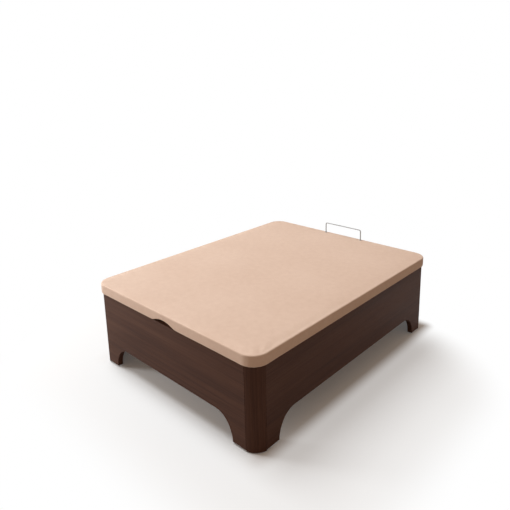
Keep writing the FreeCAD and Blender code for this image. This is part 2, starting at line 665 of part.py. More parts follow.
    # Studs of the gas spring: one set in the plate, one in the front arm.
    for studs, pivot, root, collar_start in (
            (base_studs, spring_base, v.inner_half_width, plate_inner),
            (arm_studs, spring_arm, v.front_arm_outer, v.front_arm_inner)):
        studs.append(stepped(across(sx * root, sx * eye_far, pivot, stud_radius),
                             across(sx * collar_start, sx * eye_near, pivot, stud_collar),
                             across(sx * eye_far, sx * (eye_far - v.stud_head_height), pivot, stud_collar)))
for label, solids in (("base_pivot_pins", base_pins), ("lid_pivot_pins", lid_pins),
                      ("base_pivot_spacers", base_spacers), ("lid_pivot_spacers", lid_spacers),
                      ("spring_base_studs", base_studs), ("spring_arm_studs", arm_studs)):
    node(compound(label + "_set", solids), label)
node(screw_set("plate_screw_set", plate_spots, plate_grip), "hinge_plate_screws")
node(screw_set("bracket_screw_set", bracket_spots, bracket_grip), "lid_bracket_screws")

# Gas springs: a tube on the lower stud, a rod with its piston on the upper one, both on one line.
spring_line = spring_arm - spring_base
spring_turn = Rotation(Vector(1, 0, 0), math.degrees(math.atan2(-spring_line.y, spring_line.z)))


def revolved(name, points):
    """A body turned about Z from a half profile given as (radius, height)."""
    body = doc.addObject("PartDesign::Body", name)
    pen = Pen(*points[0])
    for point in points[1:]:
        pen.line(*point)
    turn = body.newObject("PartDesign::Revolution", name + "_turn")
    sketch = sketch_on(body, "XZ_Plane", name + "_profile", pen.close())
    turn.Profile = sketch
    turn.ReferenceAxis = (sketch, ["V_Axis"])
    return body


def spring_eye(name, barrel):
    """Add an eye at the origin to a barrel along Z."""
    eye = doc.addObject("Part::Cylinder", name + "_eye")
    bind(eye, Radius="spring_eye_radius", Height="spring_eye_width")
    sideways = Rotation(Vector(0, 0, 1), Vector(1, 0, 0))
    eye.Placement = Placement(Vector(-v.spring_eye_width / 2, 0, 0), sideways)
    bore = doc.addObject("Part::Cylinder", name + "_bore")
    bind(bore, Radius="stud_diameter / 2 + running_clearance", Height="spring_eye_width * 2")
    bore.Placement = Placement(Vector(-v.spring_eye_width, 0, 0), sideways)
    return cut(name + "_bored", fuse(name + "_whole", barrel, eye), bore)


tube_radius = v.spring_tube_diameter / 2
tube_bore = tube_radius - v.spring_tube_wall
gland_bottom = v.spring_tube_top - v.spring_gland_length
gland_bore = v.rod_diameter / 2 + v.rod_clearance
neck = stud_collar + v.stud_play
for side, sx in SIDES:
    barrel = revolved(f"{side}_tube_barrel", [
        (0, neck), (tube_radius, neck), (tube_radius, v.spring_tube_top), (gland_bore, v.spring_tube_top),
        (gland_bore, gland_bottom), (tube_bore, gland_bottom), (tube_bore, v.spring_floor),
        (0, v.spring_floor)])
    tube = node(spring_eye(f"{side}_tube", barrel), f"{side}_gas_tube")
    tube.Placement = Placement(Vector(sx * v.spring_x, spring_base.y, spring_base.z), spring_turn)
    rod_radius, piston_radius = v.rod_diameter / 2, tube_bore - v.piston_clearance
    piston_top = -v.rod_length + v.piston_thickness
    barrel = revolved(f"{side}_rod_barrel", [
        (0, -neck), (0, -v.rod_length), (piston_radius, -v.rod_length), (piston_radius, piston_top),
        (rod_radius, piston_top), (rod_radius, -neck)])
    piston_rod = node(spring_eye(f"{side}_rod", barrel), f"{side}_gas_rod")
    piston_rod.Placement = Placement(Vector(sx * v.spring_x, spring_arm.y, spring_arm.z), spring_turn)

# Panels again: drilled for every screw that reaches them.
for key, blank in panel_blanks.items():
    holes = [rod(p, d, corner_grip, v.screw_diameter / 2) for p, d in corner_screw_spots[key]]
    holes += [rod(p, d, batten_grip, v.screw_diameter / 2) for p, d in batten_spots[key]]
    holes += [rod(p, d, plate_grip, v.screw_diameter / 2) for p, d in plate_spots.get(key, [])]
    node(cut(f"{key}_panel_cut", blank, compound(f"{key}_panel_holes", holes)), f"{key}_panel")

# Rubber bumpers on the rim, on the panels' middle lines.
bumper_x, bumper_y = v.box_half_width - v.panel_thickness / 2, v.box_half_length - v.panel_thickness / 2
bumper_spots = [(sx * bumper_x, k * v.side_panel_half * 0.7) for _, sx in SIDES for k in (-1, 0, 1)]
bumper_spots += [(k * v.end_panel_half * 0.7, ey * bumper_y) for _, ey in ENDS for k in (-1, 1)]
node(compound("bumpers", [rod((x, y, v.rim), (0, 0, 1), v.rim_gap - v.bumper_gap, v.bumper_diameter / 2)
                          for x, y in bumper_spots]), "rim_bumpers")

# Lid: rails and round corner blocks, a board on them, a padded border round them and padding on top.
bow_legs = [(sx * v.bow_width / 2, v.bow_y) for _, sx in SIDES]
socket_outer = v.bow_wire / 2 + v.socket_play + v.socket_wall
socket_end = v.lid_underside + v.socket_floor
flange_seat = v.lid_top - v.socket_flange_height


def socket_blank(x, y):
    """A socket's barrel with the flange that is let into the padding, not yet bored."""
    barrel = rod((x, y, socket_end), (0, 0, 1), v.lid_top - socket_end, socket_outer)
    flange = rod((x, y, flange_seat), (0, 0, 1), v.socket_flange_height, v.socket_flange_diameter / 2)
    return barrel.fuse(flange).removeSplitter().Solids[0]


socket_holes = compound("socket_holes", [socket_blank(x, y) for x, y in bow_legs])
notch_radius = (v.notch_width ** 2 / 4 + v.notch_height ** 2) / (2 * v.notch_height)
notch_centre = v.notch_height - notch_radius


def notch_arch(name, extra, depth, y):
    """The finger notch as a solid, with room for a lining round it."""
    radius = notch_radius + extra
    half = math.sqrt(radius ** 2 - notch_centre ** 2)
    pen = Pen(-half, 0).arc((0, radius + notch_centre), (half, 0))
    return padded(name, "XZ_Plane", pen.close(), depth, y=y, z="lid_underside")


def at_height(edge, height):
    """Whether an edge lies in one level plane of its body."""
    return all(near(p.z, height) for p in ends(edge))


def lid_outline():
    return rounded_rectangle(v.lid_width / 2, v.lid_length / 2, v.lid_corner_radius)


pad_blank = padded("pad_blank", "XY_Plane", lid_outline(), "pad_thickness", z="lid_top - pad_thickness")
dress(pad_blank, "Fillet", "pad_edge_radius", lambda edge: at_height(edge, v.pad_thickness))
node(cut("pad_cut", pad_blank, socket_holes), "lid_top_pad")

border_blank = padded("border_blank", "XY_Plane", lid_outline(), "border_height", z="lid_underside")
dress(border_blank, "Fillet", "border_edge_radius", lambda edge: at_height(edge, 0))
core_outline = (v.core_half_width, v.core_half_length, v.core_radius)
core = padded("border_core", "XY_Plane", rounded_rectangle(*core_outline), "border_height", z="rail_bottom")
mouth_outline = [size - v.lip_width for size in core_outline]
mouth = padded("border_mouth", "XY_Plane", rounded_rectangle(*mouth_outline),
               "lid_thickness", z="lid_underside - lip_thickness")
ring = cut("border_ring", cut("border_hollow", border_blank, core), mouth)
lining = notch_arch("notch_lining", v.notch_liner, "notch_depth + notch_liner - border_thickness / 2",
                    "border_thickness / 2 - lid_length / 2")
notch = notch_arch("notch", 0, "notch_depth + overhang", "-lid_length / 2 - overhang")
node(cut("border_notched", fuse("border_lined", ring, lining), notch), "lid_border")

board_blank = padded("lid_board_blank", "XY_Plane", rounded_rectangle(*core_outline),
                     "lid_board_thickness", z="board_bottom")
node(cut("lid_board_cut", board_blank, socket_holes), "lid_board")
for side, sx in SIDES:
    blank = beam(f"{side}_rail_blank", f"{sx} * (core_half_width - core_radius / 2)", "0", "rail_bottom",
                 "core_radius", "2 * (core_half_length - core_radius)", "rail_height")
    tools = screw_holes(f"{side}_rail_holes", bracket_spots[side], bracket_grip)
    node(cut(f"{side}_rail_cut", blank, tools), f"lid_rail_{side}")
for (end, ey), tool in zip(ENDS, (lining, socket_holes)):
    blank = beam(f"{end}_rail_blank", "0", f"{ey} * (core_half_length - core_radius / 2)", "rail_bottom",
                 "2 * (core_half_width - core_radius)", "core_radius", "rail_height")
    node(cut(f"{end}_rail_cut", blank, tool), f"lid_rail_{end}")
cross_rail_half = v.core_half_width - v.core_radius
cross_rails = []
for _, k in BEAMS:
    start = Vector(-cross_rail_half, k * v.cross_rail_spacing - v.cross_rail_width / 2, v.rail_bottom)
    cross_rails.append(Part.makeBox(2 * cross_rail_half, v.cross_rail_width, v.rail_height, start))
node(compound("cross_rails", cross_rails), "lid_cross_rails")
block_turns = {(1, 1): 0, (-1, 1): 90, (-1, -1): 180, (1, -1): 270}
blocks = []
for (sx, ey), turn in block_turns.items():
    block = Part.makeCylinder(v.core_radius, v.rail_height, Vector(0, 0, 0), Vector(0, 0, 1), 90)
    block.Placement = Placement(Vector(sx * (v.core_half_width - v.core_radius), ey * (
        v.core_half_length - v.core_radius), v.rail_bottom), Rotation(Vector(0, 0, 1), turn))
    blocks.append(block)
node(compound("blocks", blocks), "lid_corner_blocks")

# Mattress bow: one bent wire whose legs stand in two flanged sockets at the lid's head edge.
bow_foot = socket_end + v.socket_bottom
bow_height = v.lid_top + v.bow_rise - v.bow_wire / 2 - bow_foot
bow_half, bend = v.bow_width / 2, v.bow_bend_radius
bend_inset = bend * (1 - ROOT_HALF)
bow_pen = Pen(-bow_half, 0).line(-bow_half, bow_height - bend)
bow_pen.arc((-bow_half + bend_inset, bow_height - bend_inset), (-bow_half + bend, bow_height))
bow_pen.line(bow_half - bend, bow_height)
bow_pen.arc((bow_half - bend_inset, bow_height - bend_inset), (bow_half, bow_height - bend))
bow_pen.line(bow_half, 0)
bow = doc.addObject("PartDesign::Body", "bow")
bow_path = sketch_on(bow, "XZ_Plane", "bow_path", bow_pen.curves)
wire_ring = Part.Circle(Vector(-bow_half, 0, 0), Vector(0, 0, 1), v.bow_wire / 2)
bow_section = sketch_on(bow, "XY_Plane", "bow_section", [wire_ring])
bow_pipe = bow.newObject("PartDesign::AdditivePipe", "bow_pipe")
bow_pipe.Profile = bow_section
bow_pipe.Spine = (bow_path, [f"Edge{i}" for i in range(1, len(bow_pen.curves) + 1)])
bind(bow, y="bow_y", z="lid_underside + socket_floor + socket_bottom")
node(bow, "mattress_bow")

sockets = []
for x, y in bow_legs:
    bore = rod((x, y, bow_foot), (0, 0, 1), v.lid_top - bow_foot, v.bow_wire / 2 + v.socket_play)
    sockets.append(socket_blank(x, y).cut(bore).Solids[0])
node(compound("sockets", sockets), "bow_sockets")

doc.recompute()
for obj in doc.Objects:
    if {"Invalid", "Error"} & set(obj.State):
        raise RuntimeError(f"{obj.Label} failed: {obj.State}")
for obj in nodes:
    if obj.Shape.isNull() or not obj.Shape.isValid() or not obj.Shape.Solids:
        raise RuntimeError(f"{obj.Label} has no valid shape")
os.makedirs("parts", exist_ok=True)
for obj in nodes:
    obj.Shape.exportStep(f"parts/{obj.Label}.step")
print(len(nodes), "sub-parts,", sum(len(obj.Shape.Solids) for obj in nodes), "solids")
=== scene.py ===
# %% [markdown]
# # A lift-up storage bed base
#
# The real object is a wooden box on four rounded corner posts. A padded lid closes it, and the lid lifts
# on two-arm hinges with gas springs. A thin wire bow at the head keeps the mattress from sliding.
# The CAD model already holds every solid piece, in metres, standing on the floor at the origin. This
# script adds what CAD leaves out: the soft cover of the lid, the small details of its underside, the
# finishes, a pale studio and a camera.

# %% Load the CAD model
import json
import math

import bpy
import numpy as np
from mathutils import Matrix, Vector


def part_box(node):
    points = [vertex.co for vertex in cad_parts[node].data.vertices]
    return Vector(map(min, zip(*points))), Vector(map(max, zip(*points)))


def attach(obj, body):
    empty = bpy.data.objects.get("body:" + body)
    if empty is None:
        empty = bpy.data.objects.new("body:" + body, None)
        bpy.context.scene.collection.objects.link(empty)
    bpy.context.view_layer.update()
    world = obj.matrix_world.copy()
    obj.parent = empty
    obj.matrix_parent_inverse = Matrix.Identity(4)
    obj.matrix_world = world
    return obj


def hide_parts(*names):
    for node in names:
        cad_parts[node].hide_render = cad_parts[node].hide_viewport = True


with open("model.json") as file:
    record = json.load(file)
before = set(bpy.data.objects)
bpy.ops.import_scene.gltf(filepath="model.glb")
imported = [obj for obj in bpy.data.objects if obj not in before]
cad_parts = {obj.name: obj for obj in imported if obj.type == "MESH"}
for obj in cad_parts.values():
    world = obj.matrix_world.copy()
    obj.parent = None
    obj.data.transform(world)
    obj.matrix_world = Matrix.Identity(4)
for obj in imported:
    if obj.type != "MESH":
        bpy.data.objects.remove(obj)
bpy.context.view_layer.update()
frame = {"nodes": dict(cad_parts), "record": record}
nodes = frame["nodes"]
scene = bpy.context.scene
scene.view_settings.view_transform = "Standard"

# %% [markdown]
# ## The camera
#
# A camera is a place, a turn and a lens. The turn is three angles: yaw round the bed, pitch down to it,
# and a very small roll. They could be found by trying, but corners of the lid and feet of the legs give
# them by calculation. The picture's optical axis lies above its middle, which is what lens shift is for.
# The shift is kept small.

# %% Camera
PICTURE_SIDE = 510
FOCAL_PIXELS = 514.01
AXIS_AT = (263.12, 190.0)
YAW, PITCH, ROLL = (math.radians(angle) for angle in (42.8407, 13.2039, -1.1625))
CAMERA_AT = (2.3267, -2.5632, 1.9636)
SENSOR_MM = 36

lens = bpy.data.cameras.new("studio_camera")
lens.sensor_fit = "HORIZONTAL"
lens.sensor_width = SENSOR_MM
lens.lens = SENSOR_MM * FOCAL_PIXELS / PICTURE_SIDE
lens.shift_x = 0.5 - AXIS_AT[0] / PICTURE_SIDE
lens.shift_y = AXIS_AT[1] / PICTURE_SIDE - 0.5
backward = np.array([math.sin(YAW) * math.cos(PITCH), -math.cos(YAW) * math.cos(PITCH),
                     math.sin(PITCH)])
level = np.array([math.cos(YAW), math.sin(YAW), 0])
upward = np.cross(backward, level)
turned = np.column_stack([math.cos(ROLL) * level + math.sin(ROLL) * upward,
                          math.cos(ROLL) * upward - math.sin(ROLL) * level, backward])
camera = bpy.data.objects.new("studio_camera", lens)
camera.matrix_world = Matrix.LocRotScale(CAMERA_AT, Matrix(turned.tolist()), None)
scene.collection.objects.link(camera)
scene.camera = camera
print("lens", round(lens.lens, 2), "mm, shift", round(lens.shift_x, 4), round(lens.shift_y, 4))

# %% [markdown]
# ## A small language for shaders
#
# A material is a graph of nodes. Drawing a long graph by hand hides the idea, so two small classes let
# a finish be written as arithmetic. A `Wire` is one socket: adding or multiplying wires adds Math nodes.
# A `Finish` is one material: `node` adds any other node, and `done` ties the results to the shader.

# %% Shader helpers
class Wire:
    """One socket of a finish; arithmetic on it adds Math nodes."""
    def __init__(self, finish, socket):
        self.finish, self.socket = finish, socket

    def math(self, operation, *values):
        """One Math node on these wires or numbers."""
        return self.finish.node("ShaderNodeMath", {"operation": operation}, dict(enumerate(values)))

    def __add__(self, other):
        return self.math("ADD", self, other)

    def __sub__(self, other):
        return self.math("SUBTRACT", self, other)

    def __rsub__(self, other):
        return self.math("SUBTRACT", other, self)

    def __mul__(self, other):
        return self.math("MULTIPLY", self, other)

    def __truediv__(self, other):
        return self.math("DIVIDE", self, other)

    __radd__, __rmul__ = __add__, __mul__

    def cosine(self):
        """The cosine of the wire, in radians."""
        return self.math("COSINE", self)

    def between(self, low, high):
        """0 below low, 1 above high, and a smooth step from one to the other."""
        return self.finish.node("ShaderNodeMapRange", {"interpolation_type": "SMOOTHSTEP"},
                                {"Value": self, "From Min": low, "From Max": high})


class Finish:
    """A material in the making, or a world."""
    def __init__(self, name, store="materials"):
        self.material = getattr(bpy.data, store).new(name)
        self.material.use_nodes = True
        self.tree = self.material.node_tree
        self.tree.nodes.clear()

    def node(self, kind, settings=None, inputs=None, output=0):
        """Add a node: its settings first, then the values or wires of its sockets."""
        made = self.tree.nodes.new(kind)
        for name, value in (settings or {}).items():
            if name == "stops":
                ramp = made.color_ramp
                while len(ramp.elements) < len(value):
                    ramp.elements.new(1)
                for element, (place, colour) in zip(ramp.elements, value):
                    element.position, element.color = place, (*colour, 1)
            else:
                setattr(made, name, value)
        for key, value in (inputs or {}).items():
            if isinstance(value, Wire):
                self.tree.links.new(value.socket, made.inputs[key])
            else:
                made.inputs[key].default_value = value
        return Wire(self, made.outputs[output]) if made.outputs else None

    def place(self, scale):
        """Object coordinates, stretched by one number for each axis."""
        where = self.node("ShaderNodeTexCoord", output="Object")
        return self.node("ShaderNodeMapping", {"vector_type": "POINT"}, {"Vector": where, "Scale": scale})

    def noise(self, where, detail=2.0, roughness=0.5, distortion=0.0):
        """Soft noise from 0 to 1; the place it is read at already holds its scale."""
        return self.node("ShaderNodeTexNoise", {}, {
            "Vector": where, "Scale": 1, "Detail": detail, "Roughness": roughness,
            "Distortion": distortion})

    def ramp(self, value, *stops):
        """A colour for each value, between stops of a place and a colour."""
        return self.node("ShaderNodeValToRGB", {"stops": stops}, {"Fac": value})

    def mix(self, share, first, second, blend="MIX"):
        """Mix two colours; a plain colour is three numbers."""
        first, second = ((*c, 1) if isinstance(c, tuple) else c for c in (first, second))
        return self.node("ShaderNodeMix", {"data_type": "RGBA", "blend_type": blend},
                         {0: share, 6: first, 7: second}, output=2)

    def bump(self, height, distance, strength=1.0):
        """A bent normal, as if the surface rose by height times distance, in metres."""
        return self.node("ShaderNodeBump", {}, {
            "Height": height, "Distance": distance, "Strength": strength})

    def done(self, **inputs):
        """End in a Principled shader; names use _ for a space."""
        inputs = {name.replace("_", " "): value for name, value in inputs.items()}
        colour = inputs.get("Base Color")
        if isinstance(colour, tuple):
            inputs["Base Color"] = (*colour, 1)
        shader = self.node("ShaderNodeBsdfPrincipled", {}, inputs)
        self.node("ShaderNodeOutputMaterial", {}, {"Surface": shader})
        return self.material


print("shader helpers ready")

# %% [markdown]
# ## Dark stained wood
#
# The panels and posts are covered with a very dark, straight-grained veneer. From across a room it is
# an even brown; close by it has fine parallel lines, a few broader bands and short open pores. Noise
# that is stretched along one axis gives all three. The panels' lines run lengthwise and the posts'
# upright, so the finish is made once for each axis.

# %% Dark wood finish
DARK_LINE = (0.050, 0.020, 0.012)
DARK_BODY = (0.078, 0.034, 0.021)
DARK_LIGHT = (0.104, 0.050, 0.032)


def grain_scale(axis, along, across):
    """Scale for noise that is long along one axis and narrow across it."""
    scale = [across] * 3
    scale[axis] = along
    return scale


def dark_wood(name, axis):
    """Veneer: bands, lines and fibres add up to its tone, and pores darken and dent it."""
    wood = Finish(name)
    bands = wood.noise(wood.place(grain_scale(axis, 0.9, 9)), detail=3, distortion=0.4)
    lines = wood.noise(wood.place(grain_scale(axis, 1.5, 110)), detail=3, roughness=0.6)
    fibres = wood.noise(wood.place(grain_scale(axis, 9, 800)), detail=2)
    pores = wood.noise(wood.place(grain_scale(axis, 45, 1300)), detail=1).between(0.60, 0.70)
    tone = bands * 0.40 + lines * 0.40 + fibres * 0.20
    colour = wood.ramp(tone, (0.36, DARK_LINE), (0.50, DARK_BODY), (0.66, DARK_LIGHT))
    colour = wood.mix(pores * 0.55, colour, DARK_LINE)
    height = fibres * 0.5 + lines * 0.3 - pores
    return wood.done(Base_Color=colour, Roughness=0.48 + 0.14 * lines + 0.10 * pores,
                     Specular_IOR_Level=0.09, Normal=wood.bump(height, 0.00025))


wood_across, wood_along, wood_up = (dark_wood(name, axis) for axis, name in enumerate(
    ("dark_wood_across", "dark_wood_along", "dark_wood_upright")))
print("dark wood in three directions")

# %% [markdown]
# ## Wood and board inside the box
#
# Battens, beams and the lid's rails are planed pale softwood: growth rings cut lengthwise give wide
# waves of darker latewood. The floor boards and the board of the lid are pressed fibre, speckled and
# without direction.

# %% Pale wood and board finishes
EARLYWOOD, LATEWOOD, FIBRE_SHADE = (0.62, 0.46, 0.29), (0.45, 0.28, 0.14), (0.36, 0.23, 0.12)
CHIP_DARK, CHIP_LIGHT, SPECK = (0.28, 0.18, 0.10), (0.50, 0.37, 0.24), (0.14, 0.08, 0.04)


def pale_wood(name, axis):
    """Softwood: stretched noise cut off at a level gives the dark rings, and fibres shade all of it."""
    wood = Finish(name)
    drift = wood.noise(wood.place(grain_scale(axis, 1.2, 7)), detail=2)
    rings = wood.noise(wood.place(grain_scale(axis, 0.8, 60)), detail=2, distortion=0.6)
    fibres = wood.noise(wood.place(grain_scale(axis, 14, 900)), detail=2)
    latewood = (rings * 0.75 + drift * 0.25).between(0.46, 0.62)
    colour = wood.mix(latewood * 0.6, EARLYWOOD, LATEWOOD)
    colour = wood.mix(fibres * 0.35, colour, FIBRE_SHADE)
    return wood.done(Base_Color=colour, Roughness=0.62 + 0.12 * fibres,
                     Normal=wood.bump(fibres + latewood * 0.4, 0.0003))


def pressed_board(name):
    """Pressed fibre: mostly fine chips, a little cloud, and dark specks."""
    board = Finish(name)
    clouds = board.noise(board.place((5, 5, 5)), detail=2)
    chips = board.noise(board.place((240, 240, 240)), detail=4, roughness=0.75)
    specks = board.noise(board.place((700, 700, 700)), detail=1).between(0.60, 0.68)
    colour = board.ramp(clouds * 0.12 + chips * 0.88, (0.30, CHIP_DARK), (0.70, CHIP_LIGHT))
    colour = board.mix(specks * 0.5, colour, SPECK)
    return board.done(Base_Color=colour, Roughness=0.70 + 0.15 * chips, Normal=board.bump(chips, 0.0003))


pale_across, pale_along = pale_wood("pale_wood_across", 0), pale_wood("pale_wood_along", 1)
fibre_board = pressed_board("fibre_board")
print("pale wood and board ready")

# %% [markdown]
# ## Metal, plastic and rubber
#
# The hinges are black powder coat, which has a fine orange-peel skin. Screws, pins and bolts are zinc
# plated with a faint cloudy spangle. The gas springs' rods are bright and ground in fine rings. The bow
# is silver-grey lacquered wire. Plastic and rubber parts differ mostly in gloss.

# %% Metal, plastic and rubber finishes
def powder_coat(name, colour):
    """Black coat: fine noise for its skin, wide noise for patches up to 1.6 times as light."""
    coat = Finish(name)
    peel = coat.noise(coat.place((700, 700, 700)), detail=2)
    patches = coat.noise(coat.place((30, 30, 30)), detail=2)
    shade = coat.mix(patches, colour, tuple(1.6 * c for c in colour))
    return coat.done(Base_Color=shade, Roughness=0.42 + 0.14 * peel, Normal=coat.bump(peel, 0.00012))


def plated(name, colour, metallic, roughness, spread, scale):
    """Metal whose clouds change its colour and gloss a little, with fine scuffs."""
    metal = Finish(name)
    clouds = metal.noise(metal.place((scale,) * 3), detail=3, roughness=0.6)
    scuffs = metal.noise(metal.place((1200, 1200, 160)), detail=1)
    shade = metal.mix(clouds, tuple(0.82 * c for c in colour), colour)
    return metal.done(Base_Color=shade, Metallic=metallic, Roughness=roughness + spread * clouds,
                      Normal=metal.bump(scuffs, 0.00004))


def moulded(name, colour, roughness, scale, depth):
    """Plastic or rubber with a pebbled skin of a given scale and depth."""
    plastic = Finish(name)
    pebble = plastic.noise(plastic.place((scale,) * 3), detail=2)
    shade = plastic.mix(pebble, colour, tuple(1.5 * c for c in colour))
    return plastic.done(Base_Color=shade, Roughness=roughness + 0.12 * pebble,
                        Normal=plastic.bump(pebble, depth))


black_steel = powder_coat("black_powder_coat", (0.018, 0.018, 0.019))
zinc = plated("zinc_plate", (0.62, 0.62, 0.60), 1.0, 0.30, 0.16, 260)
bright_rod = plated("ground_chrome", (0.78, 0.78, 0.79), 1.0, 0.07, 0.08, 500)
silver_wire = plated("silver_lacquer", (0.34, 0.34, 0.34), 0.25, 0.42, 0.10, 180)
dark_plastic = moulded("dark_plastic", (0.020, 0.020, 0.021), 0.40, 900, 0.00008)
rubber = moulded("black_rubber", (0.012, 0.012, 0.012), 0.72, 1400, 0.00012)
print("metal, plastic and rubber ready")

# %% [markdown]
# ## Giving the CAD pieces their finishes
#
# Each CAD piece already says which slot of the record it belongs to. A table from slot to finish is
# enough, except for wood, where the length of a piece decides how its grain runs.

# %% Dress the CAD pieces
SLOT_FINISH = {"board": fibre_board, "grey_wire": silver_wire, "chrome_rod": bright_rod,
               "black_steel": black_steel, "dark_plastic": dark_plastic, "black_rubber": rubber,
               "zinc_steel": zinc}
slots = {row["node"]: row["material_slot"] for row in frame["record"]["subparts"]}


def wood_finish(name, slot):
    """Grain along the longest side of a piece, or upright in a post."""
    low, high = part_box(name)
    lengthwise = high.y - low.y > high.x - low.x
    if slot == "pale_wood":
        return pale_along if lengthwise else pale_across
    if name.startswith("corner_post"):
        return wood_up
    return wood_along if lengthwise else wood_across


for name, piece in nodes.items():
    slot = slots[name]
    finish = wood_finish(name, slot) if "wood" in slot else SLOT_FINISH.get(slot)
    if finish is not None:
        piece.data.materials.clear()
        piece.data.materials.append(finish)
print(len(nodes), "CAD pieces dressed")

# %% [markdown]
# ## The lid's knitted fabric
#
# The cover is a beige spacer knit: a soft, open fabric whose tiny hollows stand in a honeycomb. Three
# cosine waves at sixty degrees to each other add up to exactly such a lattice. It follows the cloth, so
# it reads the cover's own UV map, in metres, and not the room's axes. The hollows are dented, and their
# colour is darkened with painted shade. Wide faint clouds keep so large a surface from looking printed.

# %% Fabric finish
KNIT_PITCH = 0.0032
# the third colour is painted shade: the darker brown that the knit's hollows are mixed towards
FABRIC_DARK, FABRIC_LIGHT, HOLLOW_PAINTED_SHADE = (0.71, 0.509, 0.393), (0.775, 0.576, 0.456), (0.50, 0.35, 0.25)


def knit_fabric(name):
    """Knit: the mean of three cosine waves, cut to soft round hollows that are dented and darkened with
    painted shade, over two sizes of cloud.
    """
    cloth = Finish(name)
    flat = cloth.node("ShaderNodeUVMap", {"uv_map": "cloth"})
    u = cloth.node("ShaderNodeSeparateXYZ", {}, {0: flat}, output=0)
    w = cloth.node("ShaderNodeSeparateXYZ", {}, {0: flat}, output=1)
    turn = 2 * math.pi / KNIT_PITCH
    lattice = sum((u * (turn * math.cos(a)) + w * (turn * math.sin(a))).cosine()
                  for a in (math.radians(60 * k) for k in range(3)))
    hollow_dents_and_painted_shade = (lattice / 3).between(-0.5, 0.75)
    fuzz = cloth.noise(cloth.place((1500, 1500, 1500)), detail=2)
    mottle = cloth.noise(cloth.place((26, 26, 26)), detail=4, roughness=0.6)
    clouds = cloth.noise(cloth.place((2.2, 2.2, 2.2)), detail=2)
    colour = cloth.ramp(clouds * 0.45 + mottle * 0.55, (0.32, FABRIC_DARK), (0.68, FABRIC_LIGHT))
    # painted shade: the knit's hollows are mixed towards a darker brown, as if shade lay in them
    colour = cloth.mix(hollow_dents_and_painted_shade * 0.16, colour, HOLLOW_PAINTED_SHADE)
    height = fuzz * 0.3 - hollow_dents_and_painted_shade
    return cloth.done(Base_Color=colour, Roughness=0.80 + 0.12 * hollow_dents_and_painted_shade, Specular_IOR_Level=0.25,
                      Sheen_Weight=0.22, Sheen_Roughness=0.45, Sheen_Tint=(1.0, 0.93, 0.86, 1),
                      Normal=cloth.bump(height, 0.0006, 0.8))


beige_knit = knit_fabric("beige_knit")
print("knit lattice every", KNIT_PITCH * 1000, "mm")

# %% [markdown]
# ## The lid's cover: its outline
#
# Fabric over thin foam wraps a rounded rectangle: over the top, down the edge, and in under the rails,
# where it is stapled. Any line of it that lies at one inset from the edge is the same outline, made of
# straight runs and quarter circles. So each column of the cover has a fixed point on the outline and
# a fixed outward direction, and an inset moves it along that direction.

# %% Outline of the cover
border_low, border_high = (np.array(corner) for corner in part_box("lid_border"))
pad_low, pad_high = (np.array(corner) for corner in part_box("lid_top_pad"))
SWELL_ROOM, TOP_SINK, LID_CORNER = 0.0022, 0.0016, 0.100
half_x, half_y = border_high[0] - SWELL_ROOM, border_high[1] - SWELL_ROOM
underside, board_top = border_low[2], pad_low[2]
cover_top = pad_high[2] - TOP_SINK
CORNER_RADIUS = LID_CORNER - SWELL_ROOM
STRAIGHT_X, STRAIGHT_Y, HALF_ARC = 86, 112, 10


def side_columns(start_angle, count):
    """One side seen from above: half a corner arc, a straight run, half the next arc.
    Gives each column's outward angle, and its place on the straight run from -1 to 1."""
    arc = np.linspace(0, math.pi / 4, HALF_ARC + 1)
    angle = np.concatenate([start_angle - math.pi / 4 + arc[:-1], np.full(count, start_angle),
                            start_angle + arc[:-1]])
    share = np.concatenate([np.zeros(HALF_ARC), np.arange(count) / count, np.ones(HALF_ARC)])
    return angle, share * 2 - 1


def cover_columns():
    """Fixed point and outward direction of each column, anticlockwise from foot left: a point moves
    along the straight runs and rests at the corner's centre while the direction turns."""
    inner_x, inner_y = half_x - CORNER_RADIUS, half_y - CORNER_RADIUS
    centres, outward = [], []
    for quarter, (count, run) in enumerate(((STRAIGHT_X, inner_x), (STRAIGHT_Y, inner_y)) * 2):
        face = -math.pi / 2 + quarter * math.pi / 2
        angle, share = side_columns(face, count)
        normal = np.array([math.cos(face), math.sin(face)])
        along = np.array([-normal[1], normal[0]])
        depth = inner_y if quarter % 2 == 0 else inner_x
        centres.append(normal * depth + np.outer(share * run, along))
        outward.append(np.column_stack([np.cos(angle), np.sin(angle)]))
    return np.concatenate(centres), np.concatenate(outward)


centres, outward = cover_columns()
columns = len(centres)
print(columns, "columns round the cover")

# %% [markdown]
# ## The lid's cover: its profile
#
# Down each column the cover follows one profile: a roll at the top, the edge band, a tighter roll at the
# bottom and the lip under the rails. In the middle of the foot edge a shallow arch is cut for the
# fingers, so there the lower part of the profile is lifted and its lip becomes the lining of the arch.
# The profile then returns along the wood inside, which closes the shell.

# %% Profile of the cover
TOP_ROLL, LOWER_ROLL = 0.0080, 0.0055
NOTCH_HALF, NOTCH_HEIGHT, NOTCH_DEPTH, NOTCH_SOFT = 0.100, 0.026, 0.040, 0.005
NOTCH_REACH, NOTCH_LINED = 1.5 * NOTCH_HALF, 0.004
LIP_DEPTH, LIP_STEP, SKIN = 0.044, 0.002, 0.0026
LINING_LEAN, LINING_STEP = 0.0004, 0.0022
BOARD_INSET, BOARD_CLEAR = 0.0138, 0.0002


def notch_lift(x, y):
    """Height of the finger arch: a circle's arc over its chord, with soft shoulders."""
    radius = (NOTCH_HALF ** 2 + NOTCH_HEIGHT ** 2) / (2 * NOTCH_HEIGHT)
    arc = np.sqrt(np.maximum(radius ** 2 - x ** 2, 0)) - (radius - NOTCH_HEIGHT)
    soft = (arc + np.sqrt(arc ** 2 + NOTCH_SOFT ** 2)) / 2
    fade = np.clip((NOTCH_REACH - np.abs(x)) / (0.4 * NOTCH_HALF), 0, 1)
    return np.where(y < 0, soft * fade, 0)


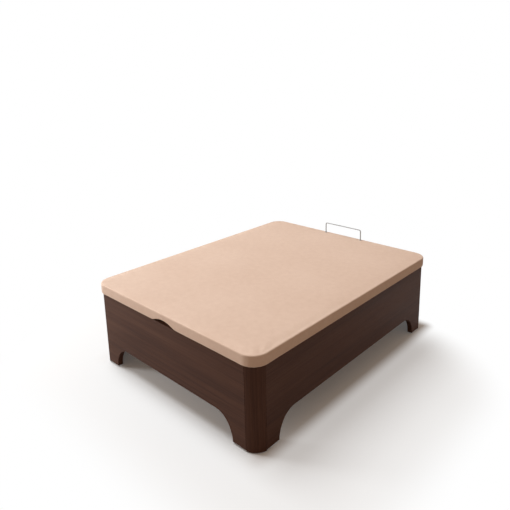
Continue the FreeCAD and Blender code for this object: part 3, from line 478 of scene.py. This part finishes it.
foot_side = outward[:, 1] < -0.999
lift = np.where(foot_side, notch_lift(centres[:, 0], centres[:, 1]), 0)
lower = underside + lift
in_notch = np.clip(lift / NOTCH_LINED, 0, 1)


def quarter(count):
    """Angles of a quarter circle, without its start."""
    return np.linspace(0, math.pi / 2, count + 1)[1:]


def profile_rows():
    """Inset and height of each row of the profile, one value for every column: a quarter circle, a
    straight band, a smaller quarter circle, the lip, and the way back along the wood."""
    flat, rows = np.ones(columns), []
    for a in quarter(5):
        rows.append((flat * TOP_ROLL * (1 - math.sin(a)),
                     flat * (cover_top - TOP_ROLL * (1 - math.cos(a)))))
    band_top, band_low = cover_top - TOP_ROLL, lower + LOWER_ROLL
    for t in np.linspace(0, 1, 5)[1:]:
        rows.append((flat * 0, band_top + (band_low - band_top) * t))
    for a in quarter(3):
        rows.append((flat * LOWER_ROLL * (1 - math.cos(a)), lower + LOWER_ROLL * (1 - math.sin(a))))
    pinned_from = len(rows) - 1
    for t in (0.3, 0.65, 1):
        rows.append((flat * (LOWER_ROLL + (NOTCH_DEPTH - LOWER_ROLL) * t), lower))
    lip_end = LIP_DEPTH - LINING_STEP * in_notch
    rows.append((NOTCH_DEPTH + LINING_LEAN * in_notch + LIP_STEP * (1 - in_notch), underside + 0 * lift))
    rows.append((lip_end, underside + 0 * lift))
    rows.append((lip_end, lower + SKIN))
    rows.append((flat * BOARD_INSET, lower + SKIN))
    rows.append((flat * BOARD_INSET, flat * (board_top + BOARD_CLEAR)))
    return np.array([r[0] for r in rows]), np.array([r[1] for r in rows]), pinned_from


insets, heights, pinned_from = profile_rows()
print(len(insets), "rows down the edge; the arch lifts the edge by", round(lift.max() * 1000, 1), "mm")

# %% [markdown]
# ## The lid's cover: its mesh
#
# The flat top is a grid whose rim is the outline at the roll's start. A Coons patch fills it: it blends
# the two pairs of opposite rims and takes off the corners that were counted twice. The rows of the
# profile hang from that rim. The UV map is the cloth laid flat: the top as it lies, and the edge
# unrolled outwards from it.

# %% Mesh of the cover
def coons(foot, head, left, right):
    """Fill a patch between four rims: two blends of opposite rims, less the blend of the corners."""
    a = np.linspace(0, 1, len(foot))[:, None, None]
    b = np.linspace(0, 1, len(left))[None, :, None]
    lengthwise = (1 - b) * foot[:, None] + b * head[:, None]
    crosswise = (1 - a) * left[None] + a * right[None]
    corners = ((1 - a) * (1 - b) * foot[0] + a * (1 - b) * foot[-1]
               + (1 - a) * b * head[0] + a * b * head[-1])
    return lengthwise + crosswise - corners


def ring_at(inset):
    """The outline at an inset: each fixed point plus its direction times what is left of the radius."""
    return centres + outward * (CORNER_RADIUS - np.asarray(inset))[..., None]


def cover_arrays():
    """Points, faces, UV and rows of the closed cover: the top's grid, then the profile's rows."""
    nx, ny = STRAIGHT_X + 2 * HALF_ARC, STRAIGHT_Y + 2 * HALF_ARC
    rim = ring_at(np.full(columns, TOP_ROLL))
    loop = np.vstack([rim, rim[:1]])
    foot, right = loop[:nx + 1], loop[nx:nx + ny + 1]
    head, left = loop[nx + ny:2 * nx + ny + 1][::-1], loop[2 * nx + ny:][::-1]
    top = coons(foot, head, left, right)
    index = np.arange(top.shape[0] * top.shape[1]).reshape(top.shape[:2])
    rim_index = np.concatenate([index[:-1, 0], index[-1, :-1], index[:0:-1, -1], index[0, :0:-1]])
    top_points = np.dstack([top, np.full(top.shape[:2], cover_top)]).reshape(-1, 3)

    ring_points = np.dstack([ring_at(insets), heights]).reshape(-1, 3)
    ring_index = index.size + np.arange(insets.size).reshape(insets.shape)
    rows = np.vstack([rim_index, ring_index])
    grid = np.stack([index[:-1, :-1], index[1:, :-1], index[1:, 1:], index[:-1, 1:]], -1).reshape(-1, 4)
    after = np.roll(rows, -1, axis=1)
    sides = np.stack([rows[1:], after[1:], after[:-1], rows[:-1]], -1).reshape(-1, 4)
    faces = np.vstack([grid, sides]).tolist() + [rows[-1][::-1].tolist()]

    profile = np.vstack([np.stack([np.full(columns, TOP_ROLL), np.full(columns, cover_top)], -1)[None],
                         np.stack([insets, heights], -1)])
    unrolled = np.cumsum(np.linalg.norm(np.diff(profile, axis=0), axis=2), axis=0)
    edge_cloth = rim[None] + outward[None] * unrolled[..., None]
    cloth = np.vstack([top.reshape(-1, 2), edge_cloth.reshape(-1, 2)])
    return np.vstack([top_points, ring_points]), faces, cloth, rows


def add_mesh(name, points, faces, finish, smooth=True):
    """A new mesh object at the origin from arrays of points and faces."""
    mesh = bpy.data.meshes.new(name)
    mesh.from_pydata(points, [], faces)
    mesh.polygons.foreach_set("use_smooth", [smooth] * len(mesh.polygons))
    mesh.materials.append(finish)
    mesh.update()
    piece = bpy.data.objects.new(name, mesh)
    scene.collection.objects.link(piece)
    return piece


def crease_row(mesh, row):
    """Keep the edges of one closed row sharp when the mesh is subdivided."""
    ends = np.empty(len(mesh.edges) * 2, int)
    mesh.edges.foreach_get("vertices", ends)
    sharp = np.isin(ends.reshape(-1, 2), row).all(axis=1)
    crease = mesh.attributes.new("crease_edge", "FLOAT", "EDGE")
    crease.data.foreach_set("value", sharp.astype(np.float32))


cover_points, cover_faces, cover_cloth, cover_rows = cover_arrays()
cover = add_mesh("lid_cover", cover_points, cover_faces, beige_knit)
crease_row(cover.data, cover_rows[-1])
point_of_corner = np.empty(len(cover.data.loops), int)
cover.data.loops.foreach_get("vertex_index", point_of_corner)
cover.data.uv_layers.new(name="cloth").data.foreach_set("uv", cover_cloth[point_of_corner].ravel())
print("cover:", len(cover_points), "points,", len(cover_faces), "faces")

# %% [markdown]
# ## The lid's cover: foam and pleats
#
# Foam pushes the fabric out between the places where it is held. Blender's Cloth does that: the lip is
# pinned as if stapled, a little pressure fills the shell, and a soft limit keeps the swelling to a few
# millimetres. Nothing may move down, or inwards at the edge, because board and rails are close behind.
# Round the corners the spare cloth is gathered, so shallow tucks run down to the lower roll.

# %% Swell and gather the cover
SWELL_FRAMES, SWELL_PRESSURE, SWELL_LIMIT = 20, 2.0, 0.0042
TUCKS, TUCK_DEPTH = 5, 0.0011
TINY = 1e-9


def read_points(mesh):
    """The mesh's points as one array."""
    points = np.empty(len(mesh.vertices) * 3)
    mesh.vertices.foreach_get("co", points)
    return points.reshape(-1, 3)


def swell(piece, held):
    """Fill the piece with pressure while the held points stay. Each move is cut softly: its length
    becomes the limit times the hyperbolic tangent of length over limit."""
    before = read_points(piece.data)
    group = piece.vertex_groups.new(name="stapled")
    group.add([int(i) for i in held], 1.0, "REPLACE")
    cloth = piece.modifiers.new("swell", "CLOTH")
    cloth.settings.quality = 3
    cloth.settings.mass = 0.3
    cloth.settings.tension_stiffness = cloth.settings.compression_stiffness = 30
    cloth.settings.shear_stiffness = 12
    cloth.settings.bending_stiffness = 4
    cloth.settings.use_pressure = True
    cloth.settings.uniform_pressure_force = SWELL_PRESSURE
    cloth.settings.vertex_group_mass = group.name
    cloth.settings.effector_weights.gravity = 0
    cloth.collision_settings.use_collision = False
    cloth.point_cache.frame_end = SWELL_FRAMES
    for step in range(1, SWELL_FRAMES + 1):
        scene.frame_set(step)
    blown = piece.evaluated_get(bpy.context.evaluated_depsgraph_get())
    move = read_points(blown.data) - before
    piece.modifiers.remove(cloth)
    piece.vertex_groups.remove(group)
    scene.frame_set(1)
    size = np.linalg.norm(move, axis=1, keepdims=True)
    limited = SWELL_LIMIT * np.tanh(size / SWELL_LIMIT)
    return move * np.where(size > TINY, limited / np.maximum(size, TINY), 0)


def stay_out(move):
    """The wood is close behind the edge: a move's part along the inward direction is taken off."""
    facing = np.tile(outward, (len(insets), 1))
    inward = np.minimum((move[:, :2] * facing).sum(axis=1, keepdims=True), 0)
    return move - np.hstack([inward * facing, 0 * inward])


def gather():
    """Tucks at the corners: narrow grooves round each arc, deepest at the lower roll."""
    angle = np.arctan2(outward[:, 1], outward[:, 0]) % (math.pi / 2) / (math.pi / 2)
    in_arc = np.sin(math.pi * angle) ** 0.5 * (np.abs(outward).min(axis=1) > 1e-6)
    groove = (0.5 + 0.5 * np.cos(2 * math.pi * TUCKS * angle)) ** 2 * in_arc
    drop = np.clip((cover_top - TOP_ROLL - heights) / (cover_top - TOP_ROLL - underside), 0, 1) ** 1.5
    drop[pinned_from + 3:] = 0  # the end of the lip lies flat
    push = -TUCK_DEPTH * groove * drop
    return np.dstack([outward[None] * push[..., None], 0 * push]).reshape(-1, 3)


move = np.zeros_like(cover_points)
move = swell(cover, cover_rows[pinned_from + 1:].ravel())
move[:, 2] = np.maximum(move[:, 2], 0)
edge = cover_rows[1:].ravel()
move[edge] = stay_out(move[edge]) + gather()
cover.data.vertices.foreach_set("co", (cover_points + move).ravel())
cover.data.update()
finer = cover.modifiers.new("finer", "SUBSURF")
finer.levels = finer.render_levels = 1
finer.use_limit_surface = False
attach(cover, "lid")
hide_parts("lid_top_pad", "lid_border")
top_count = len(cover_points) - insets.size
print("the top rose by", round(move[:top_count, 2].mean() * 1000, 2), "mm on average,",
      round(np.abs(move).max() * 1000, 2), "mm at most")

# %% [markdown]
# ## Staples under the lid
#
# The cover's lip is held under the rails by wire staples, a hand's width or less apart and never quite
# in line. Each one is a short flat wire whose ends dip into the cloth: a profile of four points swept
# along seven stations. All of them are made at once, as one array.

# %% Staples
STAPLE_INSET, STAPLE_GAP = 0.034, 0.062
STAPLE_LONG, STAPLE_WIDE, STAPLE_THICK = 0.0105, 0.0013, 0.0006
STAPLE_DIP, STAPLE_STATIONS = 2.2, 7
LOOK_AHEAD, SLANT, SLANT_STEP = 0.01, 0.16, 2.4


def staple_frames():
    """Middles and angles of the staples: even steps along the lip, each slanted by a sine of its
    number, and none at the arch."""
    lip = ring_at(np.full(columns, STAPLE_INSET))
    closed = np.vstack([lip, lip[:1]])
    run = np.concatenate([[0], np.cumsum(np.linalg.norm(np.diff(closed, axis=0), axis=1))])
    count = int(run[-1] / STAPLE_GAP)
    at = np.arange(count) * run[-1] / count

    def on_lip(distance):
        """Points of the lip at distances along it."""
        return np.column_stack([np.interp(distance, run, closed[:, k]) for k in range(2)])

    middle = on_lip(at)
    ahead = on_lip((at + LOOK_AHEAD) % run[-1]) - middle
    angle = np.arctan2(ahead[:, 1], ahead[:, 0]) + SLANT * np.sin(SLANT_STEP * np.arange(count))
    keep = (np.abs(middle[:, 0]) > NOTCH_REACH) | (middle[:, 1] > 0)
    return middle[keep], angle[keep]


def staple_arrays():
    """Flat wire along each staple's line; its height over the line falls off as a sixth power at
    the ends."""
    middle, angle = staple_frames()
    station = np.linspace(-1, 1, STAPLE_STATIONS)
    drop = STAPLE_THICK - STAPLE_DIP * STAPLE_THICK * station ** 6
    across = np.array([-1, 1, 1, -1]) * STAPLE_WIDE / 2
    depth = np.array([1, 1, 0, 0]) * STAPLE_THICK
    local = np.stack(np.broadcast_arrays(station[:, None] * STAPLE_LONG / 2, across[None],
                                         underside - drop[:, None] + depth[None]), -1)
    c, s = np.cos(angle)[:, None, None], np.sin(angle)[:, None, None]
    points = np.stack([middle[:, 0, None, None] + c * local[..., 0] - s * local[..., 1],
                       middle[:, 1, None, None] + s * local[..., 0] + c * local[..., 1],
                       np.broadcast_to(local[..., 2], (len(angle), *local.shape[:2]))], -1)
    index = np.arange(points[..., 0].size).reshape(points.shape[:3])
    around = np.roll(index, -1, axis=2)
    sides = np.stack([index[:, :-1], index[:, 1:], around[:, 1:], around[:, :-1]], -1).reshape(-1, 4)
    ends = np.concatenate([index[:, 0], index[:, -1, ::-1]])
    return points.reshape(-1, 3), np.vstack([sides, ends]).tolist(), len(angle)


staple_points, staple_faces, staple_count = staple_arrays()
staples = add_mesh("lid_staples", staple_points, staple_faces, zinc, smooth=False)
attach(staples, "lid")
print(staple_count, "staples under the lip")

# %% [markdown]
# ## The studio
#
# A pale floor runs out into a white background. The floor keeps the bed's shade under it whole, mixes
# some plain white into the shadow beside it, and is all white further off. Only rays that the camera or
# a reflection sends see that white; the light that bounces on to the bed is dimmer and warmer, so the
# bed's shaded side stays dark.

# %% Floor and background
FLOOR_HALF, FLOOR_POINTS = 14.0, 9
FLOOR_BOUNCE, FLOOR_SEEN = (0.40, 0.34, 0.30), (0.80, 0.79, 0.78)
WHITE_UNDER, WHITE_BESIDE, WHITE_BEYOND = 0.02, 0.40, 0.58


def white_rays(finish):
    """1 for rays from the camera, a reflection or through glass, else 0."""
    path = {name: finish.node("ShaderNodeLightPath", output=name)
            for name in ("Is Camera Ray", "Is Glossy Ray", "Is Transmission Ray")}
    camera_ray, glossy, through = path.values()
    return camera_ray.math("MAXIMUM", camera_ray.math("MAXIMUM", camera_ray, glossy), through)


def reach_from(floor, centre, half):
    """Distance on the floor from a rectangle: the length of |place - centre| - half, kept above 0."""
    where = floor.node("ShaderNodeTexCoord", output="Object")
    for operation, other in (("SUBTRACT", (*centre, 0)), ("ABSOLUTE", (0, 0, 0)),
                             ("SUBTRACT", (*half, 0)), ("MAXIMUM", (0, 0, 0))):
        where = floor.node("ShaderNodeVectorMath", {"operation": operation}, {0: where, 1: other})
    return floor.node("ShaderNodeVectorMath", {"operation": "LENGTH"}, {0: where}, output="Value")


def studio_floor(name):
    """A matt floor with a share of plain white: little under the bed, more beside it, all beyond."""
    floor = Finish(name)
    seen = white_rays(floor)
    beside = reach_from(floor, (0, 0), (0.74, 0.94)).between(-0.02, 0.10)
    beyond = reach_from(floor, (0, -0.30), (0.75, 0.45)).between(0.30, 0.85)
    colour = floor.mix(seen, FLOOR_BOUNCE, FLOOR_SEEN)
    shade = floor.node("ShaderNodeBsdfDiffuse", {}, {"Color": colour})
    glow = floor.node("ShaderNodeEmission", {}, {"Color": (1, 1, 1, 1), "Strength": 1})
    share = (WHITE_UNDER + beside * (WHITE_BESIDE + WHITE_BEYOND * beyond * beyond)) * seen
    surface = floor.node("ShaderNodeMixShader", {}, {0: share, 1: shade, 2: glow})
    floor.node("ShaderNodeOutputMaterial", {}, {"Surface": surface})
    return floor.material


across = np.linspace(-FLOOR_HALF, FLOOR_HALF, FLOOR_POINTS)
floor_grid = np.stack(np.meshgrid(across, across, [0.0], indexing="ij"), -1).reshape(-1, 3)
corner = np.arange(FLOOR_POINTS ** 2).reshape(FLOOR_POINTS, FLOOR_POINTS)
floor_faces = np.stack([corner[:-1, :-1], corner[1:, :-1], corner[1:, 1:], corner[:-1, 1:]], -1)
floor_faces = floor_faces.reshape(-1, 4).tolist()
floor = add_mesh("studio_floor", floor_grid, floor_faces, studio_floor("studio_floor"))

world = Finish("studio", "worlds")
scene.world = world.material
SKY_LIGHT = (0.325, 0.240, 0.175)
sky = world.node("ShaderNodeBackground", {}, {
    "Color": world.mix(white_rays(world), SKY_LIGHT, (1.0, 1.0, 1.0)), "Strength": 1})
world.node("ShaderNodeOutputWorld", {}, {"Surface": sky})
print("floor", 2 * FLOOR_HALF, "m wide, sky light", SKY_LIGHT)

# %% [markdown]
# ## The light
#
# One large soft box hangs high, a little to the left, and lights the top and the floor. A smaller one
# stands low to the left of the foot end: it lights the foot side at a slant, and hardly the floor, so
# the shade under the foot panel stays whole. The right side is left to the sky and the floor.

# %% Lamps
def soft_box(name, place, aim, size, power, tint):
    """A square area lamp that points from one place at another and isn't seen itself."""
    lamp = bpy.data.lights.new(name, "AREA")
    lamp.shape, lamp.size, lamp.energy, lamp.color = "SQUARE", size, power, tint
    obj = bpy.data.objects.new(name, lamp)
    away = np.array(place, float) - np.array(aim, float)
    away /= np.linalg.norm(away)
    side = np.cross((0, 0, 1), away)
    side /= np.linalg.norm(side)
    turn = np.column_stack([side, np.cross(away, side), away])
    obj.matrix_world = Matrix.LocRotScale(place, Matrix(turn.tolist()), None)
    obj.visible_camera = False
    scene.collection.objects.link(obj)
    return obj


soft_box("key_box", place=(-4.8, -1.3, 11.0), aim=(0, 0, 0.3), size=5.5, power=1160,
         tint=(0.938, 1.009, 1.068))
soft_box("fill_box", place=(-4.2, -3.3, 1.25), aim=(0, -0.9, 0.35), size=1.2, power=148,
         tint=(0.95, 0.99, 1.02))
print("two soft boxes")
